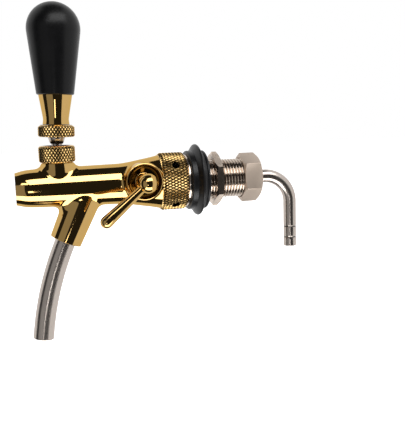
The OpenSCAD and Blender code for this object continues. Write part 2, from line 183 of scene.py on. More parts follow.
class StudioSettings(bpy.types.PropertyGroup):
    view_turn: heading("View turn", "Heading of the camera, from the tap's far side", 15.451)
    view_tilt: heading("View tilt", "Tilt of the camera", -8.856)
    view_roll: heading("View roll", "Roll of the camera", -1.641)
    view_place: bpy.props.FloatVectorProperty(
        name="View place", description="Place of the camera",
        default=(-0.10636, -0.37991, 0.03763), subtype="TRANSLATION")
    lens: plain("Lens", "Focal length in millimetres", 54.37)
    key_power: plain("Key strength", "Brightness of the two long softboxes", 5.0)
    wall_power: plain("Wall strength", "Brightness of the white tent round the tap", 1.0)
    floor_z: length("Floor", "Height of the floor under the tap", -120)


def sizes():
    return bpy.context.scene.tap_sizes


def knurls():
    return bpy.context.scene.tap_knurls


def colours():
    return bpy.context.scene.tap_colours


def studio():
    return bpy.context.scene.tap_studio


# ---------------------------------------------------------------- making shapes

def nothing_selected():
    if bpy.context.mode != "OBJECT":
        bpy.ops.object.mode_set(mode="OBJECT")
    bpy.ops.object.select_all(action="DESELECT")


def only(obj):
    nothing_selected()
    obj.select_set(True)
    bpy.context.view_layer.objects.active = obj


def place(obj, where):
    """Put a piece that was made round Z at the origin into its frame, in the mesh."""
    only(obj)
    obj.matrix_world = where
    bpy.ops.object.transform_apply(location=True, rotation=True, scale=True)
    return obj


def arc(centre, radius, start, end, steps):
    """Points on a circle in a profile: angles in degrees from the axis towards outwards."""
    out = []
    for i in range(steps + 1):
        a = math.radians(start + (end - start) * i / steps)
        out.append((centre[0] + radius * math.cos(a), centre[1] + radius * math.sin(a)))
    return out


def eased(points, radius, steps=3):
    """The profile with every sharp outside corner rounded, where its sides are long enough."""
    out = [points[0]]
    for before, here, after in zip(points, points[1:], points[2:]):
        a, b, c = Vector(before), Vector(here), Vector(after)
        one, two = a - b, c - b
        turn = math.pi - one.angle(two, math.pi)
        cut = min(radius, one.length * 0.4, two.length * 0.4)
        if here[1] < 1e-4 or turn < math.radians(12) or cut < 0.02:
            out.append(here)
            continue
        p, q = b + one.normalized() * cut, b + two.normalized() * cut
        for i in range(steps + 1):
            t = i / steps
            out.append(tuple(p * (1 - t) ** 2 + b * 2 * t * (1 - t) + q * t * t))
    out.append(points[-1])
    return out


def lathe(name, points, where, steps=None, closed=False):
    """A profile drawn point by point and spun round Z. points are (place, radius) in mm."""
    nothing_selected()
    first = points[0]
    bpy.ops.mesh.primitive_plane_add(size=MM, location=(first[1] * MM, 0, first[0] * MM))
    obj = bpy.context.object
    obj.name = obj.data.name = name
    bpy.ops.object.transform_apply(location=True, rotation=True, scale=True)
    bpy.ops.object.mode_set(mode="EDIT")
    bpy.ops.mesh.select_all(action="SELECT")
    bpy.ops.mesh.merge(type="CENTER")
    if closed:
        points = list(points) + [first]
    for here, there in zip(points, points[1:]):
        step = ((there[1] - here[1]) * MM, 0, (there[0] - here[0]) * MM)
        bpy.ops.mesh.extrude_region_move(TRANSFORM_OT_translate={"value": step})
    bpy.ops.mesh.select_all(action="SELECT")
    bpy.ops.mesh.spin(steps=steps or sizes().turned_steps, angle=math.tau, center=(0, 0, 0),
                      axis=(0, 0, 1))
    bpy.ops.mesh.select_all(action="SELECT")
    bpy.ops.mesh.remove_doubles(threshold=2e-6)
    bpy.ops.mesh.normals_make_consistent(inside=False)
    bpy.ops.object.mode_set(mode="OBJECT")
    return place(obj, where)


def smooth(obj, angle=35):
    only(obj)
    bpy.ops.object.shade_smooth_by_angle(angle=math.radians(angle))
    return obj


def boolean(obj, cutter, operation="DIFFERENCE"):
    """Cut, join or intersect with another closed mesh, which is used up."""
    only(obj)
    bpy.ops.object.modifier_add(type="BOOLEAN")
    step = obj.modifiers[-1]
    step.operation, step.object, step.solver = operation, cutter, "MANIFOLD"
    bpy.ops.object.modifier_apply(modifier=step.name)
    only(cutter)
    bpy.ops.object.delete()
    if not obj.data.polygons:
        raise RuntimeError(f"nothing is left of {obj.name} after a boolean")
    return obj


def bevelled(obj, width, angle):
    only(obj)
    bpy.ops.object.modifier_add(type="BEVEL")
    step = obj.modifiers[-1]
    step.width, step.segments, step.limit_method = width * MM, 2, "ANGLE"
    step.angle_limit, step.harden_normals = math.radians(angle), False
    bpy.ops.object.modifier_apply(modifier=step.name)
    return obj


def joined(obj, *others):
    only(obj)
    for o in others:
        o.select_set(True)
    bpy.ops.object.join()
    return obj


def read(items, field, width=3, kind=float):
    """One property of all of a mesh's points, corners or faces, a row to each."""
    values = np.empty(len(items) * width, kind)
    items.foreach_get(field, values)
    return values.reshape(-1, width) if width > 1 else values


def points_of(mesh):
    return read(mesh.vertices, "co")


def move_points(mesh, co):
    mesh.vertices.foreach_set("co", co.ravel())
    mesh.update()


def carried(co, by):
    """Points carried through a placing matrix."""
    return co @ np.array(by.to_3x3()).T + np.array(by.translation)


def pressed(r, depth):
    """How much to shrink each point towards the axis, for a groove of the given depth."""
    return np.where(r > 1e-6, (r - depth) / np.maximum(r, 1e-6), 1)


def mark_grooves(obj, values):
    """Keep a mask of the places marked for painted shade on the points, 1 for the darkest; on knurled
    gold it also adds roughness.
    """
    mask = obj.data.attributes.get("groove") or obj.data.attributes.new("groove", "FLOAT", "POINT")
    mask.data.foreach_set("value", values.astype(np.float32))


def rows(start, end, step):
    count = max(2, round((end - start) / step))
    return [start + (end - start) * i / count for i in range(count + 1)]


def band(start, end, radius, step):
    return [(s, radius) for s in rows(start, end, step)]


# Mesh rows to a diamond, where its slope ends on its way from groove to point, how wide the knurl's
# ends fade in mm, how fast the groove's mask of painted shade falls off, and the painted shade inside
# the bores
KNURL_ROWS, SLOPE_END, END_FADE, GROOVE_FALL, BORE_MASK = 8, 0.44, 0.25, 1.6, 0.7


def knurl_band(shape, row):
    """Rows for a knurl along a profile."""
    places, radii = zip(*shape)
    step = row / KNURL_ROWS
    count = int((places[-1] - places[0]) / step)
    return [(places[0] + i * step, float(np.interp(places[0] + i * step, places, radii)))
            for i in range(count + 1)]


def round_diamonds(obj, where, skin, inner_r, count, row, depth):
    """Press a diamond knurl into a turned piece's skin, outside a radius; its grooves and bores are
    marked for painted shade.
    """
    low, high = skin[0][0], skin[-1][0]
    local = carried(points_of(obj.data), where.inverted())
    x, y, z = local.T / MM
    r = np.hypot(x, y)
    inside = (z > low - 1e-3) & (z < high + 1e-3) & (r > inner_r)
    turn = np.arctan2(y, x) / math.tau * count
    run = (z - low) / row
    one, two = turn + run, turn - run
    near = np.minimum(np.abs(one - np.round(one)), np.abs(two - np.round(two)))
    height = np.clip(near / SLOPE_END, 0, 1)
    edge = np.clip(np.minimum(z - low, high - z) / END_FADE, 0, 1)
    press = np.where(inside, (1 - height) * edge, 0)
    local[:, :2] *= pressed(r, press * depth)[:, None]
    move_points(obj.data, carried(local, where))
    mark_grooves(obj, np.where(r < inner_r, BORE_MASK, press ** GROOVE_FALL))


def knurled(name, shape, before, after, where, inner_r, kind="nut"):
    """A turned piece whose skin has a diamond knurl; before and after are its plain sides."""
    count, row, depth = (getattr(knurls(), f"{kind}_{part}") for part in ("count", "row", "depth"))
    skin = knurl_band(shape, row / MM)
    piece = lathe(name, [*before, *skin, *after], where, steps=count * KNURL_ROWS,
                  closed=True)
    round_diamonds(piece, where, skin, inner_r, count, row / MM, depth / MM)
    return piece


def finished(obj, name, body, slot, finish, *nodes, angle=35):
    obj.name = obj.data.name = name
    if angle:
        smooth(obj, angle)
    obj.data.materials.clear()
    obj.data.materials.append(material(finish))
    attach(obj, body)
    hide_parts(*nodes)
    nothing_selected()
    return obj


# ---------------------------------------------------------------- the barrel's blended surface

def eased_radius(stations, reach=1.6):
    """A smooth radius along an axis: the stations joined and then softened."""
    s, r = zip(*stations)
    fine = np.arange(s[0], s[-1], 0.1)
    values = np.interp(fine, s, r)
    width = int(reach / 0.1)
    for _ in range(3):
        padded = np.pad(values, width, mode="reflect", reflect_type="odd")
        values = np.convolve(padded, np.ones(2 * width + 1) / (2 * width + 1), mode="valid")
    return fine, values


def blend(a, b, reach, same):
    """Two distances joined with a fillet; same is how alike their directions are, 1 for equal."""
    reach = reach * np.clip(1 - same, 0.04, 1)
    h = np.clip(0.5 + 0.5 * (b - a) / reach, 0, 1)
    return b + (a - b) * h - reach * h * (1 - h)


class BarrelSurface:
    """Distance from the barrel with its three bosses, in mm; nought on the surface."""

    def __init__(self):
        self.barrel = eased_radius(BARREL)
        self.handle = eased_radius(HANDLE_BOSS, 0.8)
        self.spout = eased_radius(SPOUT_BOSS, 0.8)
        lean = math.radians(SPOUT_LEAN)
        self.along = np.array([-math.sin(lean), 0, -math.cos(lean)])

    def distance(self, p):
        x, y, z = p.T
        r = np.maximum(np.hypot(y, z), 1e-6)
        d = r - np.interp(x, *self.barrel)
        reach = np.maximum(np.hypot(x - HANDLE_X, y), 1e-6)
        handle = np.maximum(reach - np.interp(z, *self.handle), 3 - z)
        d = blend(d, handle, sizes().handle_fillet / MM, y * y / (r * reach))
        q = p - np.array([SPOUT_X, 0, 0])
        s = q @ self.along
        off = q - s[:, None] * self.along
        reach = np.maximum(np.linalg.norm(off, axis=1), 1e-6)
        spout = np.maximum(reach - np.interp(s, *self.spout), 4 - s)
        same = (off[:, 1] * y + off[:, 2] * z) / (r * reach)
        d = blend(d, spout, sizes().spout_fillet / MM, same)
        reach = np.maximum(np.hypot(x - FLOW_X, z - FLOW_Z), 1e-6)
        boss = np.maximum(reach - SIDE_BOSS_R, y + 6)
        return blend(d, boss, sizes().side_fillet / MM, z * (z - FLOW_Z) / (r * reach))

    def slope(self, p, h=0.02):
        return np.stack([self.distance(p + h * e) - self.distance(p - h * e)
                         for e in np.eye(3)], 1) / (2 * h)

    def settle(self, p, turns=6):
        for _ in range(turns):
            g = self.slope(p)
            step = self.distance(p) / np.maximum((g * g).sum(1), 0.25)
            p = p - np.clip(step, -1.5, 1.5)[:, None] * g
        return p


def barrel_blank(surface):
    """The barrel and its bosses, fused by a fine remesh and drawn onto the blended surface."""
    blank = lathe("barrel_blank", [(BARREL[0][0], 0), *BARREL, (BARREL[-1][0], 0)], ALONG_X)
    handle = lathe("handle_boss", [(0, 0), *HANDLE_BOSS, (HANDLE_BOSS[-1][0], 0)], ON_BONNET)
    spout = lathe("spout_boss", [(0, 0), *SPOUT_BOSS, (SPOUT_BOSS[-1][0], 0)], ON_SPOUT)
    flow = lathe("flow_boss", [(-19, 0), (-19, SIDE_BOSS_R), (-3, SIDE_BOSS_R), (-3, 0)], ON_FLOW)
    joined(blank, handle, spout, flow)
    only(blank)
    blank.data.remesh_voxel_size = sizes().barrel_voxel
    blank.data.use_remesh_fix_poles = False
    bpy.ops.object.voxel_remesh()
    co = points_of(blank.data) / MM
    # Points past these places are cut away later, so they stay where they are
    flat_end = ((co[:, 0] < FRONT_X - 2.5) | (co[:, 0] > -25.5) | (co[:, 1] < -18.2)
                | (co[:, 2] > 16.2) | ((co - [SPOUT_X, 0, 0]) @ surface.along > 36.8))
    settled = surface.settle(co)
    co[~flat_end] = settled[~flat_end]
    move_points(blank.data, co * MM)
    return blank


def barrel_cutters():
    """Closed turned shapes that cut the barrel's ends, bores, sockets and dish."""
    out, far = 40, 30
    front = FRONT_X
    yield lathe("cut_front", [(front - 20, 0), (front - 20, out), (front, out), (front, 8.6),
                              (front, 6.9), (front + 0.4, 6.5), (-61.8, 6.5), (-60.4, 4.6),
                              (-58.8, 4.6), (-56.8, 6.7), (-54.8, 9.0), (-17, 9.0), (-17, 0)],
                ALONG_X)
    yield lathe("cut_rear", [(-28.1, 12.4), (-28.1, far), (-10, far), (-10, 0), (-18, 0),
                             (-18, 11.9), (-18.5, 12.4)], ALONG_X, closed=True)
    yield lathe("cut_handle", [(13.9, 8.0), (13.9, 8.5), (13.6, 9.0), (13.4, far), (26, far),
                               (26, 0), (20, 0), (20, 7.6), (19.6, 8.0)], ON_BONNET, closed=True)
    yield lathe("cut_ball", [(0, 0), (0, 6.5), (12.6, 6.5), (12.6, 7.0), (21, 7.0), (21, 0)],
                ON_BONNET)
    end = SPOUT_BOSS_LEN
    yield lathe("cut_spout", [(2, 0), (2, 4.6), (end - 14, 4.6), (end - 14, 5.92), (end - 0.3, 5.92),
                              (end, 6.2), (end, 8.7), (end - 0.12, 8.95), (end - 0.4, 9.15),
                              (end - 0.45, out), (end + 20, out), (end + 20, 0)], ON_SPOUT)
    face = SIDE_BOSS_Y
    yield lathe("cut_dish", [(-40, 0), (-40, out), (face + 0.7, out), (face + 0.6, 10.5),
                             (face + 0.2, 10.3), (face, 9.95), (face, 9.65), (face + 0.15, 9.4),
                             (face + 0.5, 9.25), (-14.6, 9.05), (-14.0, 8.85), (-13.55, 8.45),
                             (-13.3, 7.95), (-13.2, 7.4), (-13.2, 5.6), (-11.4, 5.6), (-11.4, 4.66),
                             (-3, 4.66), (-3, 0)], ON_FLOW)


# A face takes exact normals if it lies this near the surface, in mm, and faces the same way
SURFACE_NEAR, SURFACE_ALIKE = 0.06, 0.8


def drawn_normals(obj, surface):
    """Exact normals where the mesh lies on the blended surface, so that reflections run clean."""
    mesh = obj.data
    faces, vertex = mesh.polygons, read(mesh.loops, "vertex_index", 1, int)
    normals = read(mesh.corner_normals, "vector")
    co = points_of(mesh) / MM
    slope = surface.slope(co)
    slope /= np.maximum(np.linalg.norm(slope, axis=1), 1e-9)[:, None]
    owner = np.repeat(np.arange(len(faces)), read(faces, "loop_total", 1, int))
    worst, lowest = np.zeros(len(faces)), np.ones(len(faces))
    np.maximum.at(worst, owner, np.abs(surface.distance(co))[vertex])
    np.minimum.at(lowest, owner, (read(faces, "normal")[owner] * slope[vertex]).sum(1))
    use = ((worst < SURFACE_NEAR) & (lowest > SURFACE_ALIKE))[owner]
    normals[use] = slope[vertex][use]
    mesh.normals_split_custom_set(normals.tolist())


def shade_dish(obj):
    """Mark the dish round the flow lever for painted shade, since it mirrors only itself."""
    x, y, z = points_of(obj.data).T / MM
    reach = np.hypot(x - FLOW_X, z - FLOW_Z)
    mark_grooves(obj, (y < DISH_FLOOR_Y) & (reach < DISH_R) & (y > SIDE_BOSS_Y - 0.1))


# ---------------------------------------------------------------- materials

def group(name, inputs, outputs):
    """A node group; a tuple makes a colour input, and only Colour is a colour output."""
    tree = bpy.data.node_groups.new(name, "ShaderNodeTree")
    for label, default in inputs.items():
        kind = "NodeSocketColor" if isinstance(default, tuple) else "NodeSocketFloat"
        tree.interface.new_socket(label, in_out="INPUT", socket_type=kind).default_value = default
    for label in outputs:
        kind = "NodeSocketColor" if label == "Colour" else "NodeSocketFloat"
        tree.interface.new_socket(label, in_out="OUTPUT", socket_type=kind)
    return tree, tree.nodes.new("NodeGroupInput"), tree.nodes.new("NodeGroupOutput")


def plug(tree, value, socket):
    """Join an output to a socket, or set the socket's own value."""
    if isinstance(value, (int, float, tuple)):
        socket.default_value = value
    else:
        tree.links.new(value, socket)


def math_node(tree, operation, *values, clamp=False):
    node = tree.nodes.new("ShaderNodeMath")
    node.operation, node.use_clamp = operation, clamp
    for socket, value in zip(node.inputs, values):
        plug(tree, value, socket)
    return node.outputs[0]


def noise(tree, vector, scale, detail=3.0, rough=0.5, stretch=None):
    node = tree.nodes.new("ShaderNodeTexNoise")
    if stretch:
        mapping = tree.nodes.new("ShaderNodeMapping")
        mapping.inputs["Scale"].default_value = stretch
        tree.links.new(vector, mapping.inputs["Vector"])
        vector = mapping.outputs[0]
    for label, value in (("Vector", vector), ("Scale", scale), ("Detail", detail),
                         ("Roughness", rough)):
        plug(tree, value, node.inputs[label])
    return node.outputs["Fac"]


def mixed(tree, factor, a, b):
    node = tree.nodes.new("ShaderNodeMix")
    node.data_type = "RGBA"
    for number, value in ((0, factor), (6, a), (7, b)):
        plug(tree, value, node.inputs[number])
    return node.outputs[2]


def object_place(tree):
    return tree.nodes.new("ShaderNodeTexCoord").outputs["Object"]


def polish_group():
    """Handling haze on a polished surface: roughness that drifts, and a faint waviness."""
    tree, enter, leave = group(
        "polish", {"Roughness": 0.06, "Haze": 0.05, "Patch scale": 90.0, "Fine scale": 1800.0},
        ("Roughness", "Height"))
    place_in = object_place(tree)
    patch = noise(tree, place_in, enter.outputs["Patch scale"], 4, 0.6)
    fine = noise(tree, place_in, enter.outputs["Fine scale"], 2, 0.5)
    patch = math_node(tree, "MULTIPLY_ADD", patch, 2.4, -0.7, clamp=True)
    haze = math_node(tree, "MULTIPLY", patch, enter.outputs["Haze"])
    tree.links.new(math_node(tree, "ADD", enter.outputs["Roughness"], haze),
                   leave.inputs["Roughness"])
    height = math_node(tree, "MULTIPLY_ADD", patch, 0.5, math_node(tree, "MULTIPLY", fine, 0.5))
    tree.links.new(height, leave.inputs["Height"])
    return tree


def recess_shade_group():
    """Painted shade in pressed grooves and other recesses, and a painted highlight on convex edges.
    """
    tree, enter, leave = group(
        "recess_shade",
        {"Colour": (0.6, 0.4, 0.15, 1), "Groove colour": (0.05, 0.03, 0.01, 1),
         "Rubbed colour": (0.8, 0.6, 0.3, 1), "Groove amount": 0.8, "Rubbing": 0.25},
        ("Colour", "Mask"))
    pressed = tree.nodes.new("ShaderNodeAttribute")
    pressed.attribute_name = "groove"
    place_in = object_place(tree)
    patch = noise(tree, place_in, 260.0, 3, 0.6)
    # The groove mask, varied in patches, darkens the colour towards the groove colour: painted shade
    mask = math_node(tree, "MULTIPLY", pressed.outputs["Fac"], enter.outputs["Groove amount"])
    mask = math_node(tree, "MULTIPLY", mask,
                     math_node(tree, "MULTIPLY_ADD", patch, 0.8, 0.6), clamp=True)
    # Convex edges, found by pointiness, are lightened: a painted highlight
    edge = tree.nodes.new("ShaderNodeNewGeometry").outputs["Pointiness"]
    edge_highlight = math_node(tree, "MULTIPLY_ADD", edge, 14.0, -7.3, clamp=True)
    edge_highlight = math_node(tree, "MULTIPLY", edge_highlight, enter.outputs["Rubbing"])
    colour = mixed(tree, edge_highlight, enter.outputs["Colour"], enter.outputs["Rubbed colour"])
    tree.links.new(mixed(tree, mask, colour, enter.outputs["Groove colour"]),
                   leave.inputs["Colour"])
    tree.links.new(mask, leave.inputs["Mask"])
    return tree


def grain_group():
    """Satin grain of a blasted or brushed metal: a value for roughness and one for height."""
    tree, enter, leave = group(
        "grain", {"Roughness": 0.3, "Spread": 0.12, "Grain scale": 1400.0, "Line scale": 600.0,
                  "Lines": 0.0}, ("Roughness", "Height", "Tone"))
    place_in = object_place(tree)
    grain = noise(tree, place_in, enter.outputs["Grain scale"], 3, 0.65)
    lines = noise(tree, place_in, enter.outputs["Line scale"], 2, 0.5, (1.0, 1.0, 0.04))
    drift = noise(tree, place_in, 120.0, 3, 0.6)
    both = math_node(tree, "ADD", math_node(tree, "MULTIPLY", lines, enter.outputs["Lines"]),
                     math_node(tree, "MULTIPLY", grain,
                               math_node(tree, "SUBTRACT", 1.0, enter.outputs["Lines"])))
    tone = math_node(tree, "MULTIPLY_ADD", drift, 0.5, math_node(tree, "MULTIPLY", both, 0.5))
    spread = math_node(tree, "MULTIPLY", math_node(tree, "SUBTRACT", tone, 0.5),
                       enter.outputs["Spread"])
    tree.links.new(math_node(tree, "ADD", enter.outputs["Roughness"], spread),
                   leave.inputs["Roughness"])
    tree.links.new(both, leave.inputs["Height"])
    tree.links.new(tone, leave.inputs["Tone"])
    return tree


GROUP_MAKERS = {"polish": polish_group, "recess_shade": recess_shade_group, "grain": grain_group}


def used(tree, name, **values):
    """One of the shared groups, made once, with this material's own values."""
    node = tree.nodes.new("ShaderNodeGroup")
    node.node_tree = bpy.data.node_groups.get(name) or GROUP_MAKERS[name]()
    for label, value in values.items():
        node.inputs[label.replace("_", " ")].default_value = value
    return node


def surfaced(name, metallic, base, group_name, relief, **values):
    """A material whose roughness and fine relief come from one of the shared groups."""
    material = bpy.data.materials.new(name)
    material.use_nodes = True
    tree = material.node_tree
    shader = tree.nodes["Principled BSDF"]
    shader.inputs["Metallic"].default_value = metallic
    shader.inputs["Base Color"].default_value = base
    material.diffuse_color = base
    surface = used(tree, group_name, **values)
    tree.links.new(surface.outputs["Roughness"], shader.inputs["Roughness"])
    bump = tree.nodes.new("ShaderNodeBump")
    bump.inputs["Distance"].default_value = relief
    tree.links.new(surface.outputs["Height"], bump.inputs["Height"])
    tree.links.new(bump.outputs[0], shader.inputs["Normal"])
    return material, tree, shader, surface


def scaled(colour, by):
    return (colour[0] * by, colour[1] * by, colour[2] * by, 1)


def toned(tree, factor, base, dark, light, socket):
    """A colour that drifts between two shades of the base, fed into a socket."""
    colour = mixed(tree, factor, scaled(base, dark), scaled(base, light))
    tree.links.new(colour, socket)
    return colour


def recess_shaded(tree, shader, colour, groove, highlight_colour, amount, highlight_amount):
    """Base colour with painted shade in its grooves and recesses, and a painted highlight on its
    edges.
    """
    recess_shade = used(tree, "recess_shade", Colour=colour, Groove_colour=groove, Rubbed_colour=highlight_colour,
                 Groove_amount=amount, Rubbing=highlight_amount)
    tree.links.new(recess_shade.outputs["Colour"], shader.inputs["Base Color"])
    return recess_shade


def grained(name, metallic, base, dark, light, relief, **values):
    """Grain that shifts roughness, relief and tone together."""
    material, tree, shader, grain = surfaced(name, metallic, base, "grain", relief, **values)
    colour = toned(tree, grain.outputs["Tone"], base, dark, light, shader.inputs["Base Color"])
    return material, tree, shader, colour


def polished_gold():
    """Mirror-polished gold plate, with a faint haze."""
    base = tuple(colours().gold)
    material, tree, shader, _ = surfaced("polished_gold", 1.0, base, "polish", 2e-6,
                                         Roughness=0.035, Haze=0.05)
    shader.inputs["Specular Tint"].default_value = (0.92, 0.80, 0.55, 1)
    # Painted shade in the flow lever's dish, the only marked place on the gold, and a faint painted
    # highlight on convex edges
    recess_shade = recess_shaded(tree, shader, base, scaled(base, 0.2), scaled(base, 1.1), 1.3, 0.1)
    drift = noise(tree, object_place(tree), 60.0, 3, 0.6)
    toned(tree, drift, base, 0.94, 1.05, recess_shade.inputs["Colour"])
    return material


def knurled_gold():
    """Gold plate over a pressed diamond knurl, with painted shade and more roughness in its grooves,
    and painted highlights on its diamonds.
    """
    base = tuple(colours().gold)
    material, tree, shader, polish = surfaced("knurled_gold", 1.0, base, "polish", 4e-6,
                                              Roughness=0.08, Haze=0.06)
    # Gold brightened by 1.3 as a painted highlight, grooves darkened near to black as painted shade,
    # crests lighter still as a painted highlight
    recess_shade = recess_shaded(tree, shader, scaled(base, 1.3), scaled(base, 0.02), (0.85, 0.66, 0.38, 1),
                   1.5, 0.4)
    rough = math_node(tree, "MULTIPLY_ADD", recess_shade.outputs["Mask"], 0.25,
                      polish.outputs["Roughness"])
    tree.links.new(rough, shader.inputs["Roughness"])
    return material


def satin_nickel(name="satin_nickel", roughness=0.5):
    """Satin nickel of the tube nut; the lock nut's is shinier."""
    base = tuple(colours().nickel)
    material, tree, shader, colour = grained(name, 1.0, base, 0.88, 1.12, 1.2e-5,
                                             Roughness=roughness, Spread=0.2, Grain_scale=2200.0)
    # Convex edges, found by pointiness, are lightened to a brighter nickel: a painted highlight
    edge = tree.nodes.new("ShaderNodeNewGeometry").outputs["Pointiness"]
    edge_highlight = math_node(tree, "MULTIPLY_ADD", edge, 10.0, -5.3, clamp=True)
    tree.links.new(mixed(tree, edge_highlight, colour, scaled(base, 1.35)), shader.inputs["Base Color"])
    return material


def bright_nickel():
    """Shiny nickel of the shank and its thread."""
    base = tuple(colours().nickel)
    bright = scaled(base, 1.15)
    material, tree, shader, _ = surfaced("bright_nickel", 1.0, bright, "polish", 4e-6,
                                         Roughness=0.10, Haze=0.10, Patch_scale=160.0)
    # Painted shade in the thread's grooves and a painted highlight on convex edges
    recess_shaded(tree, shader, bright, scaled(base, 0.25), (0.85, 0.80, 0.74, 1), 0.7, 0.3)
    return material


def drawn_steel():
    """Polished stainless with fine draw lines."""
    base = tuple(colours().steel)
    material, tree, shader, colour = grained("drawn_steel", 1.0, base, 0.90, 1.10, 5e-6,
                                             Roughness=0.24, Spread=0.12, Grain_scale=900.0,
                                             Lines=0.7)
    # Painted shade in the hose tube's two ring grooves and a painted highlight on convex edges
    recess_shade = recess_shaded(tree, shader, base, scaled(base, 0.1), scaled(base, 1.2), 1.2, 0.2)
    tree.links.new(colour, recess_shade.inputs["Colour"])
    return material


def moulded_resin():
    """Black moulded resin with a soft gloss."""
    base = tuple(colours().resin)
    material, tree, shader, _ = surfaced("moulded_resin", 0.0, base, "polish", 1e-5,
                                         Roughness=0.26, Haze=0.10, Patch_scale=70.0)
    shader.inputs["Specular IOR Level"].default_value = 0.19
    drift = noise(tree, object_place(tree), 140.0, 4, 0.7)
    toned(tree, drift, base, 0.8, 1.5, shader.inputs["Base Color"])
    return material


def dull_black(name, base, roughness):
    """Satin plastic or rubber: fine grain and a little bloom."""
    material, _, shader, _ = grained(name, 0.0, tuple(base), 0.7, 1.5, 1.5e-5,
                                     Roughness=roughness, Spread=0.2, Grain_scale=1600.0)
    shader.inputs["Specular IOR Level"].default_value = 0.27
    return material


def machined_seat():
    """White food-grade plastic with a fine grain."""
    return grained("machined_seat", 0.0, tuple(colours().seat), 0.95, 1.03, 5e-6,
                   Roughness=0.42, Spread=0.15, Grain_scale=800.0)[0]


def turned_brass():
    """Turned brass, unplated."""
    return grained("turned_brass", 1.0, tuple(colours().brass), 0.85, 1.1, 5e-6,
                   Roughness=0.3, Spread=0.2, Lines=0.4)[0]


MAKERS = {
    "polished_gold": polished_gold,
    "knurled_gold": knurled_gold,
    "satin_nickel": satin_nickel,
    "shiny_nickel": lambda: satin_nickel("shiny_nickel", 0.22),
    "bright_nickel": bright_nickel,
    "drawn_steel": drawn_steel,
    "moulded_resin": moulded_resin,
    "collar_plastic": lambda: dull_black("collar_plastic", colours().collar, 0.34),
    "black_rubber": lambda: dull_black("black_rubber", colours().rubber, 0.42),
    "machined_seat": machined_seat,
    "turned_brass": turned_brass,
}


def material(name):
    return bpy.data.materials.get(name) or MAKERS[name]()


# ---------------------------------------------------------------- pieces

class TAP_OT_barrel(bpy.types.Operator):
    """Make the tap's body: barrel, bosses, bores and the flow lever's dish"""
    bl_idname = "tap.barrel"
    bl_label = "Barrel"

    def execute(self, context):
        surface = BarrelSurface()
        body = barrel_blank(surface)
        for cutter in barrel_cutters():
            boolean(body, cutter)
        smooth(body, 30)
        drawn_normals(body, surface)
        shade_dish(body)
        finished(body, "barrel", "tap", "gold_plate", "polished_gold", "tap_body", angle=0)
        return {"FINISHED"}


class TAP_OT_knob(bpy.types.Operator):
    """Make the moulded knob"""
    bl_idname = "tap.knob"
    bl_label = "Knob"

    def execute(self, context):
        centre, radius, side = 69.6, 14.6, 7
        socket, foot, skirt, skirt_r = 58.2, 34.3, 34.8, 10.3
        under = eased([(socket, 5.05), (foot, 5.05), (foot, 9.7), (skirt, skirt_r)], 0.2)
        crown = arc((centre, 0), radius, 90 + side, 0, 28)
        flank = [(skirt + (crown[0][0] - skirt) * t, skirt_r + (crown[0][1] - skirt_r) * t)
                 for t in (0.25, 0.5, 0.75)]
        knob = lathe("knob", [(socket, 0), *under, *flank, *crown[:-1], (centre + radius, 0)],
                     ON_HANDLE, steps=128)
        finished(knob, "knob", "handle", "knob_resin", "moulded_resin", "handle_knob")
        return {"FINISHED"}


class TAP_OT_ferrule(bpy.types.Operator):
    """Make the gold ferrule under the knob"""
    bl_idname = "tap.ferrule"
    bl_label = "Ferrule"

    def execute(self, context):
        outer = [(18.0, 3.95), (18.0, 7.25), (18.15, 7.4), (19.0, 7.28), (20.0, 7.13), (20.9, 7.05),
                 (21.7, 7.12), (24.6, 7.6), (27.8, 8.15), (31.0, 8.7), (34.0, 9.2), (34.3, 9.15),
                 (34.3, 3.05), (24.4, 3.05), (24.4, 3.95)]
        piece = lathe("ferrule", outer, ON_HANDLE, closed=True)
        finished(piece, "ferrule", "handle", "gold_plate", "polished_gold", "handle_ferrule",
                 angle=30)
        return {"FINISHED"}


class TAP_OT_handle_nut(bpy.types.Operator):
    """Make the knurled nut that locks the handle"""
    bl_idname = "tap.handle_nut"
    bl_label = "Handle nut"

    def execute(self, context):
        shape = [(11.3, 9.35), (11.8, 10.15), (16.5, 10.15), (17.7, 8.8)]
        nut = knurled("handle_nut", shape, [(11.2, 4.0), (11.2, 9.1)], [(17.9, 8.4), (17.9, 4.0)],
                      ON_HANDLE, 8.5)
        finished(nut, "handle_nut", "handle_nut", "gold_plate", "knurled_gold",
                 "handle_lock_nut", angle=25)
        return {"FINISHED"}


class TAP_OT_bonnet(bpy.types.Operator):
    """Make the knurled bonnet that holds the lever's ball"""
    bl_idname = "tap.bonnet"
    bl_label = "Bonnet"

    def execute(self, context):
        shape = [(14.3, 9.45), (14.8, 10.15), (22.2, 10.15), (23.2, 9.4)]
        bonnet = knurled("bonnet", shape, [(20.1, 4.92), (20.1, 8.05), (14.2, 8.05), (14.2, 9.3)],
                         [(23.4, 9.05), (23.4, 7.35), (23.25, 7.15)], ON_BONNET, 8.9)
        finished(bonnet, "bonnet", "bonnet", "gold_plate", "knurled_gold", "lever_bonnet", angle=25)
        return {"FINISHED"}


